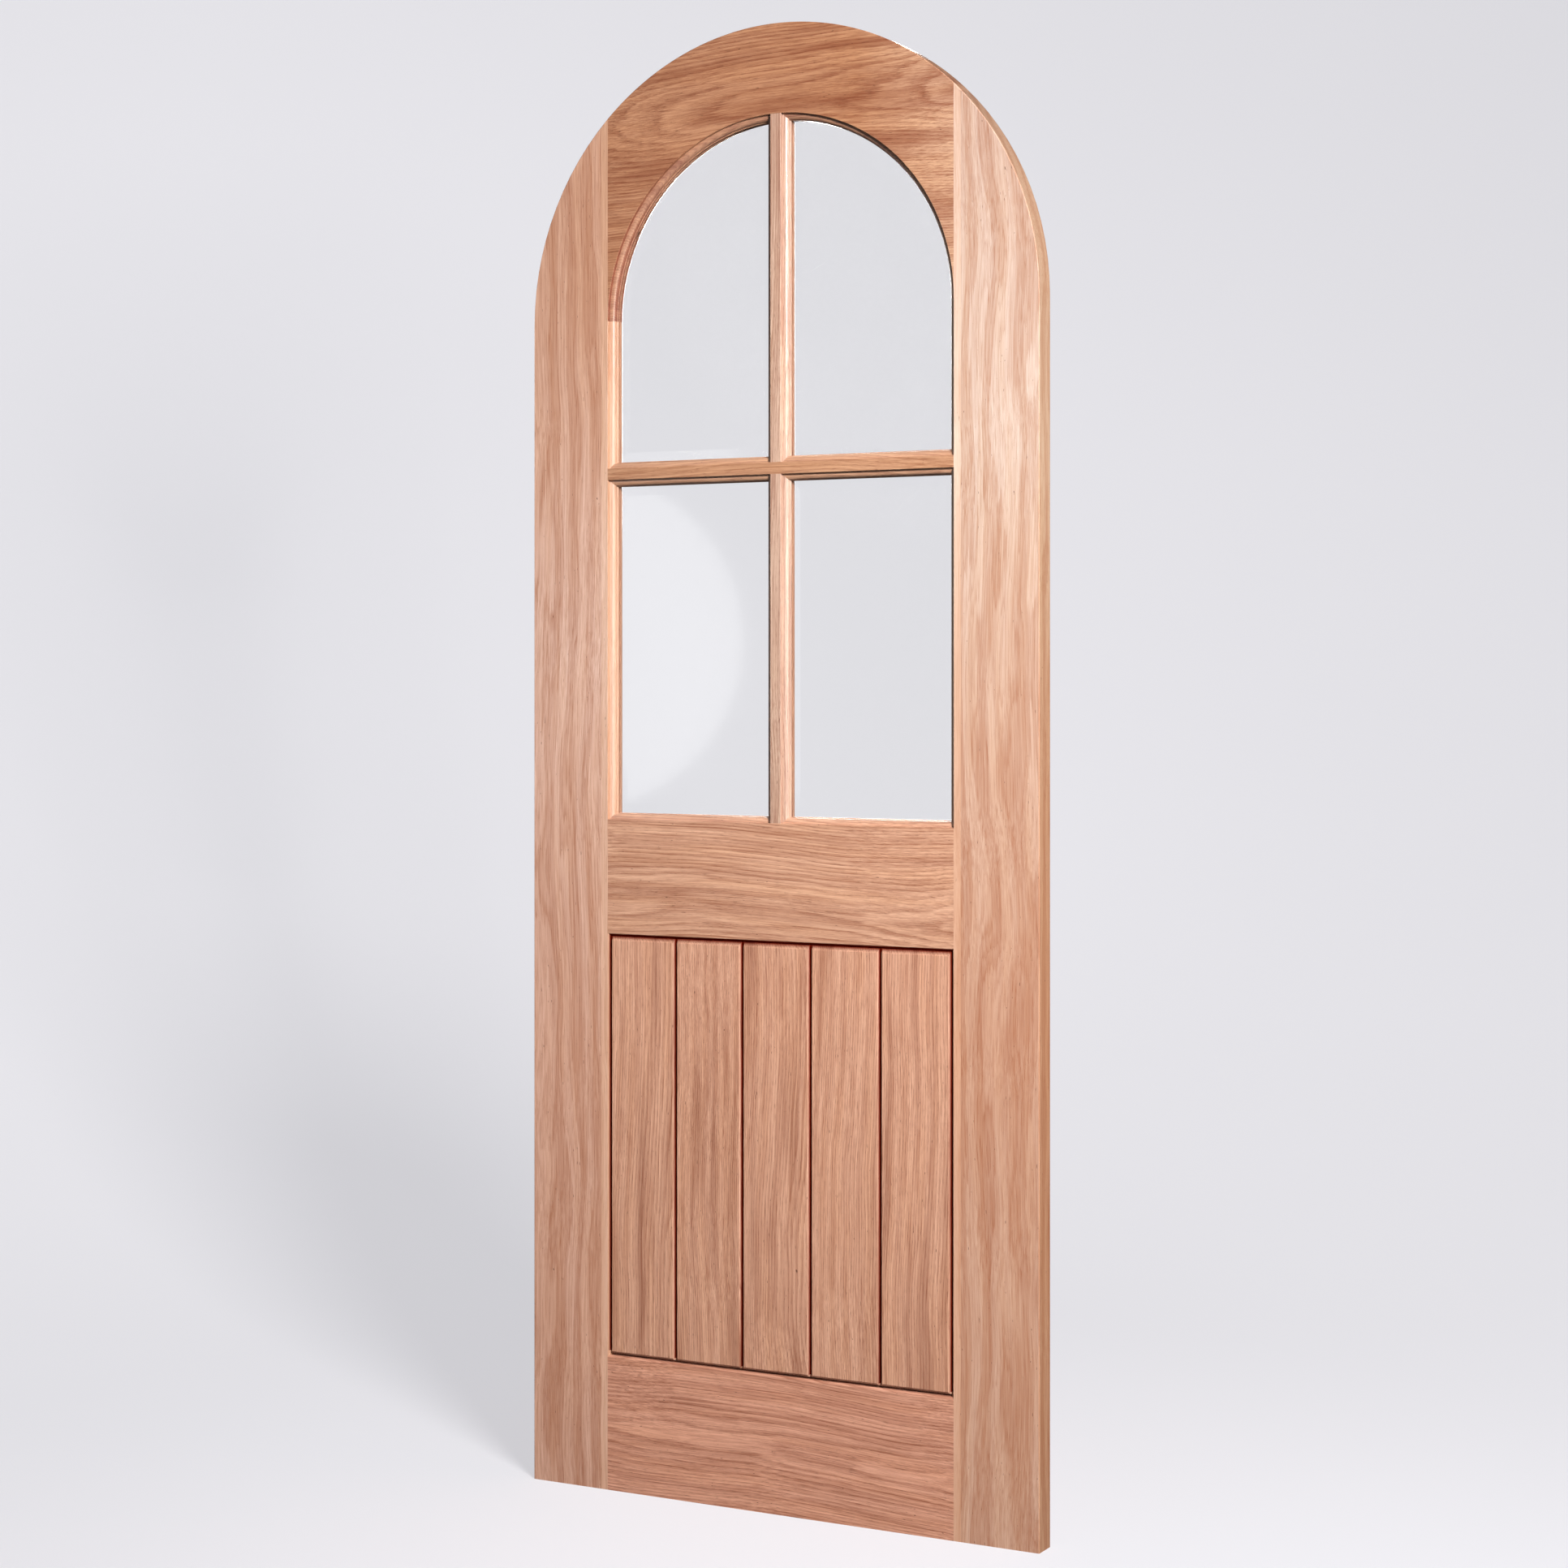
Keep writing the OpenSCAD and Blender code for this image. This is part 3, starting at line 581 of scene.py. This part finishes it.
def backdrop():
    """A round sweep of painted board: flat floor, one long curve, then an upright wall."""
    flat_reach, curve, wall_top = 1.3, 4.2, 9.0
    flat_steps, curve_steps, sides = 6, 24, 96
    profile = [(flat_reach * step / flat_steps, 0.0) for step in range(flat_steps + 1)]
    for step in range(1, curve_steps + 1):
        angle = pi / 2 * step / curve_steps
        profile.append((flat_reach + curve * sin(angle), curve * (1 - cos(angle))))
    profile.append((flat_reach + curve, wall_top))
    points = [(0.0, 0.0, 0.0)]
    faces = []
    for reach, height in profile[1:]:
        for side in range(sides):
            angle = 2 * pi * side / sides
            points.append((reach * cos(angle), reach * sin(angle), height))
    for side in range(sides):
        after = (side + 1) % sides
        faces.append((0, 1 + side, 1 + after))
        for ring in range(len(profile) - 2):
            inner = 1 + ring * sides
            outer = inner + sides
            faces.append((inner + side, outer + side, outer + after, inner + after))
    mesh = bpy.data.meshes.new("backdrop")
    mesh.from_pydata(points, [], faces)
    mesh.shade_smooth()
    piece = bpy.data.objects.new("backdrop", mesh)
    bpy.context.scene.collection.objects.link(piece)

    finish = Finish("backdrop_paint")
    place = finish.node("ShaderNodeTexCoord", output="Object")
    clouds = finish.node("ShaderNodeTexNoise", None,
                         {"Vector": place, "Scale": 0.8, "Detail": 2.0})
    colour = finish.blend(clouds, paint(150, 150, 153), paint(155, 155, 158))
    shader = finish.node("ShaderNodeBsdfPrincipled", None, {
        "Base Color": colour, "Roughness": 0.9, "Specular IOR Level": 0.1,
        "Emission Color": (0.958, 0.950, 1.0, 1.0), "Emission Strength": 0.58})
    mesh.materials.append(finish.surface(shader))
    piece.visible_diffuse = False
    piece.visible_glossy = False
    return piece


sweep = backdrop()


def lamp(name, place, aim, size, power, colour, spread=180.0):
    light = bpy.data.lights.new(name, "AREA")
    light.shape = "DISK"
    light.spread = radians(spread)
    light.size = size
    light.energy = power
    light.color = colour
    holder = bpy.data.objects.new(name, light)
    holder.location = place
    holder.rotation_euler = (Vector(aim) - Vector(place)).to_track_quat("-Z", "Y").to_euler()
    holder.visible_camera = False
    bpy.context.scene.collection.objects.link(holder)
    return holder


def only_for(light, name, targets, state="INCLUDE"):
    """Shines a lamp on some objects only, or, with EXCLUDE, on all but those."""
    reached = bpy.data.collections.new(name)
    for target in targets:
        reached.objects.link(target)
    for link in reached.collection_objects:
        link.light_linking.link_state = state
    light.light_linking.receiver_collection = reached


WARM, SOFT_WARM, WHITE = (1.0, 0.972, 0.948), (1.0, 0.985, 0.97), (1.0, 1.0, 1.0)
key_lamp = lamp("key_lamp", place=(3.25, -2.85, 2.60), aim=(0.30, 0.0, 1.35), size=0.80,
                power=93.0, colour=WARM, spread=90.0)
only_for(key_lamp, "key_reach", [sweep], "EXCLUDE")
# A lower, wider one at the same side lights the backdrop, with a softer shadow of the door.
wall_lamp = lamp("wall_lamp", place=(3.25, -2.85, 1.75), aim=(0.30, 0.0, 1.25), size=1.30,
                 power=150.0, colour=WARM, spread=90.0)
only_for(wall_lamp, "wall_reach", [sweep])
# A weak round one at the left shows in the lower left pane, and hardly lights the wood.
round_lamp = lamp("round_lamp", place=(-1.40, -1.695, 1.19), aim=(-0.13, 0.0, 1.0), size=0.70,
                  power=1.55, colour=WHITE)
round_lamp.visible_diffuse = False
# A wide lamp behind lights the door's back, and one at the left its left edge.
back_lamp = lamp("back_lamp", place=(-1.60, 3.90, 2.30), aim=(0.0, 0.0, 1.0), size=1.60,
                 power=180.0, colour=SOFT_WARM)
only_for(back_lamp, "back_reach", [sweep], "EXCLUDE")
side_lamp = lamp("side_lamp", place=(-4.20, 0.80, 2.20), aim=(-0.38, 0.0, 1.0), size=1.40,
                 power=110.0, colour=SOFT_WARM)
only_for(side_lamp, "side_reach", [nodes["stile_left"], nodes["head"]])

room = bpy.data.worlds.new("room")
room.use_nodes = True
room.node_tree.nodes.clear()
air = Wiring(room.node_tree)
outward = air.node("ShaderNodeTexCoord", output="Generated")
# The room is bright at the right, in front and overhead, and dim at the left and near the floor.
bright_side = air.node("ShaderNodeVectorMath", {"operation": "DOT_PRODUCT"},
                       {0: outward, 1: (0.70, -0.40, 0.55)}, output="Value")
glow = air.node("ShaderNodeBackground", None, {
    "Color": (0.965, 0.975, 1.0, 1.0),
    "Strength": 0.03 + 0.34 * air.ease(bright_side, -0.30, 0.90)})
sky = air.tree.nodes.new("ShaderNodeOutputWorld")
air.tree.links.new(glow.socket, sky.inputs["Surface"])
bpy.context.scene.world = room

# The camera stands at the right of the front, at chest height, and looks level at the door.
camera_azimuth, camera_turn = radians(28.38), radians(28.334)
camera_distance, camera_height = 4.021, 1.1031
view = bpy.data.cameras.new("camera")
view.sensor_width = 36.0
view.lens = 69.25
view.shift_y = -0.0638
camera = bpy.data.objects.new("camera", view)
camera.location = (camera_distance * sin(camera_azimuth),
                   -camera_distance * cos(camera_azimuth), camera_height)
camera.rotation_euler = (pi / 2, 0.0, camera_turn)
bpy.context.scene.collection.objects.link(camera)
bpy.context.scene.camera = camera
bpy.context.scene.view_settings.view_transform = "Standard"
